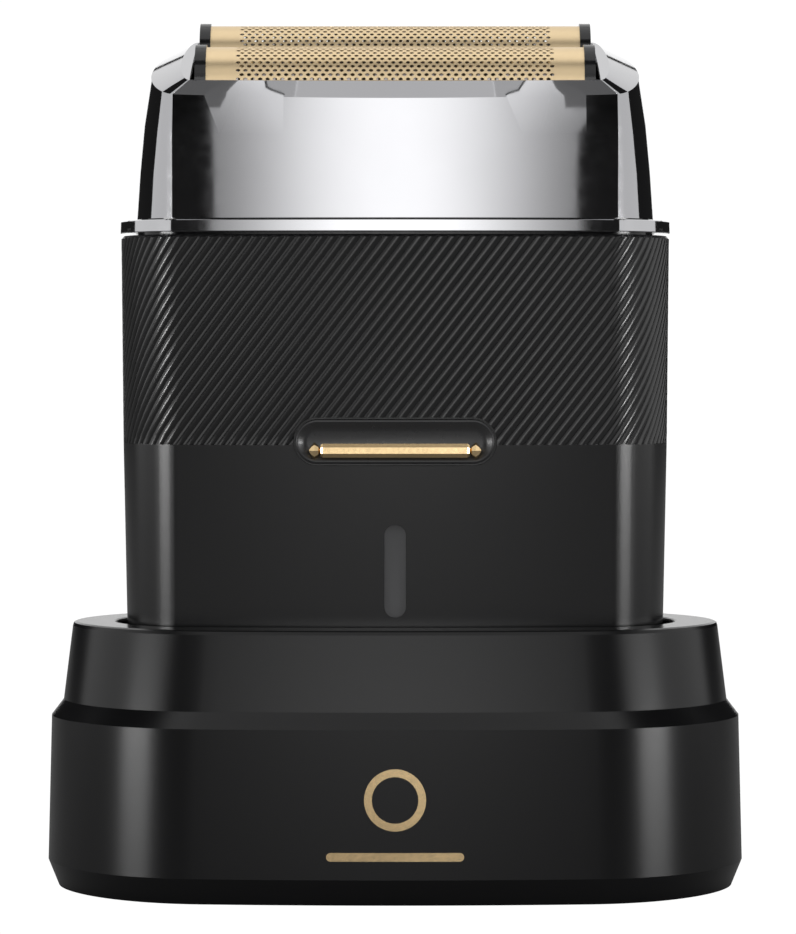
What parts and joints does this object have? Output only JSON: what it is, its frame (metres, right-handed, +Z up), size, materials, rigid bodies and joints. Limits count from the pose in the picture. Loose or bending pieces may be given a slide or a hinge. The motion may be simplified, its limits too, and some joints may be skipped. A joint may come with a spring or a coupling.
{
  "type": "foil shaver",
  "caption": "Cordless foil shaver with gold twin foils and a smoked chrome collar, standing in its charging dock.",
  "frame": {"origin": "middle of the dock's footprint, on the plane that its feet stand on", "axes": "+Z up, -Y towards the front with the power button, +X to the right seen from the front"},
  "size_m": [0.0838, 0.0449, 0.1046],
  "materials": {
    "dock_black": "satin with polished bevels",
    "dock_inner_black": "matt",
    "body_black": "satin",
    "seal_rubber": "matt",
    "zinc_steel": "zinc plated",
    "spring_steel": "bright",
    "circuit_board": "solder mask",
    "component_black": "matt",
    "gold_contact": "gold plated",
    "gold_trim": "gold plated",
    "foil_gold": "gold coated steel",
    "dark_chrome": "smoked chrome",
    "bright_chrome": "chrome",
    "frame_black": "gloss",
    "button_black": "gloss",
    "indicator_clear": "frosted, clear",
    "led_white": "gloss",
    "battery_wrap": "shrink wrap",
    "motor_steel": "nickel plated",
    "chassis_grey": "matt",
    "acetal_white": "satin",
    "blade_steel": "ground"
  },
  "bodies": {
    "dock": {"dock_housing": "dock_black", "dock_cradle": "dock_inner_black", "dock_base_plate": "dock_inner_black", "dock_feet": "seal_rubber", "dock_screws": "zinc_steel", "dock_ballast": "zinc_steel", "dock_circuit_board": "circuit_board", "contact_sleeves": "component_black", "charging_socket": "zinc_steel", "emblem_ring": "gold_trim", "emblem_bar": "gold_trim", "charge_pin_springs": "spring_steel"},
    "charge_contacts": {"charge_pins": "gold_contact"},
    "handle": {"front_housing": "body_black", "rear_housing": "body_black", "bottom_cap": "body_black", "cap_seal": "seal_rubber", "contact_plates": "gold_contact", "cap_screws": "zinc_steel", "chassis": "chassis_grey", "guide_rods": "spring_steel", "battery_cells": "battery_wrap", "main_circuit_board": "circuit_board", "tactile_switch": "component_black", "indicator_led": "led_white", "indicator_lens": "indicator_clear", "motor_can": "motor_steel", "head_deck": "frame_black", "deck_screws": "zinc_steel", "deck_seal": "seal_rubber", "head_bezel": "bright_chrome", "head_catches": "spring_steel"},
    "button": {"power_button": "button_black", "button_bar": "gold_trim"},
    "rotor": {"motor_shaft": "spring_steel", "eccentric_cam": "acetal_white"},
    "oscillator": {"oscillator_bridge": "acetal_white", "front_cutter_spring": "spring_steel", "rear_cutter_spring": "spring_steel"},
    "head": {"head_collar": "dark_chrome", "head_frame": "frame_black", "head_screws": "zinc_steel", "front_foil_springs": "spring_steel", "rear_foil_springs": "spring_steel"},
    "front_foil_cassette": {"front_foil": "foil_gold", "front_foil_frame": "frame_black"},
    "rear_foil_cassette": {"rear_foil": "foil_gold", "rear_foil_frame": "frame_black"},
    "front_cutter": {"front_cutter_blades": "blade_steel", "front_cutter_holder": "component_black"},
    "rear_cutter": {"rear_cutter_blades": "blade_steel", "rear_cutter_holder": "component_black"}
  },
  "joints": [
    {"name": "charge_pin_travel", "type": "slide", "parent": "dock", "child": "charge_contacts", "axis": [0, 0, 1], "range_m": [-0.0008, 0], "stiffness_N_per_m": 250, "springref_m": 0.0004, "deforming": ["charge_pin_springs"]},
    {"name": "shaver_lift", "type": "slide", "parent": "dock", "child": "handle", "axis": [0, 0, 1], "range_m": [0, 0.03]},
    {"name": "button_press", "type": "slide", "parent": "handle", "child": "button", "axis": [0, 1, 0], "range_m": [0, 0.0005], "stiffness_N_per_m": 1500, "springref_m": -0.0005},
    {"name": "motor_spin", "type": "hinge", "parent": "handle", "child": "rotor", "pos_m": [0, 0.0015, 0.06], "axis": [0, 0, 1], "continuous": true},
    {"name": "oscillation", "type": "slide", "parent": "handle", "child": "oscillator", "axis": [1, 0, 0], "range_m": [-0.0009, 0.0009]},
    {"name": "head_release", "type": "slide", "parent": "handle", "child": "head", "axis": [0, 0, 1], "range_m": [0, 0.025]},
    {"name": "front_foil_float", "type": "slide", "parent": "head", "child": "front_foil_cassette", "axis": [0, 0.2672, -0.9636], "range_m": [0, 0.0012], "stiffness_N_per_m": 900, "springref_m": -0.0005, "deforming": ["front_foil_springs", "front_cutter_spring"]},
    {"name": "front_cutter_oscillation", "type": "slide", "parent": "front_foil_cassette", "child": "front_cutter", "axis": [1, 0, 0], "range_m": [-0.0009, 0.0009]},
    {"name": "rear_foil_float", "type": "slide", "parent": "head", "child": "rear_foil_cassette", "axis": [0, 0.2672, -0.9636], "range_m": [0, 0.0012], "stiffness_N_per_m": 900, "springref_m": -0.0005, "deforming": ["rear_foil_springs", "rear_cutter_spring"]},
    {"name": "rear_cutter_oscillation", "type": "slide", "parent": "rear_foil_cassette", "child": "rear_cutter", "axis": [1, 0, 0], "range_m": [-0.0009, 0.0009]}
  ],
  "couplings": [
    {"joint": "front_cutter_oscillation", "follows": "oscillation", "ratio": 1},
    {"joint": "rear_cutter_oscillation", "follows": "oscillation", "ratio": 1}
  ]
}
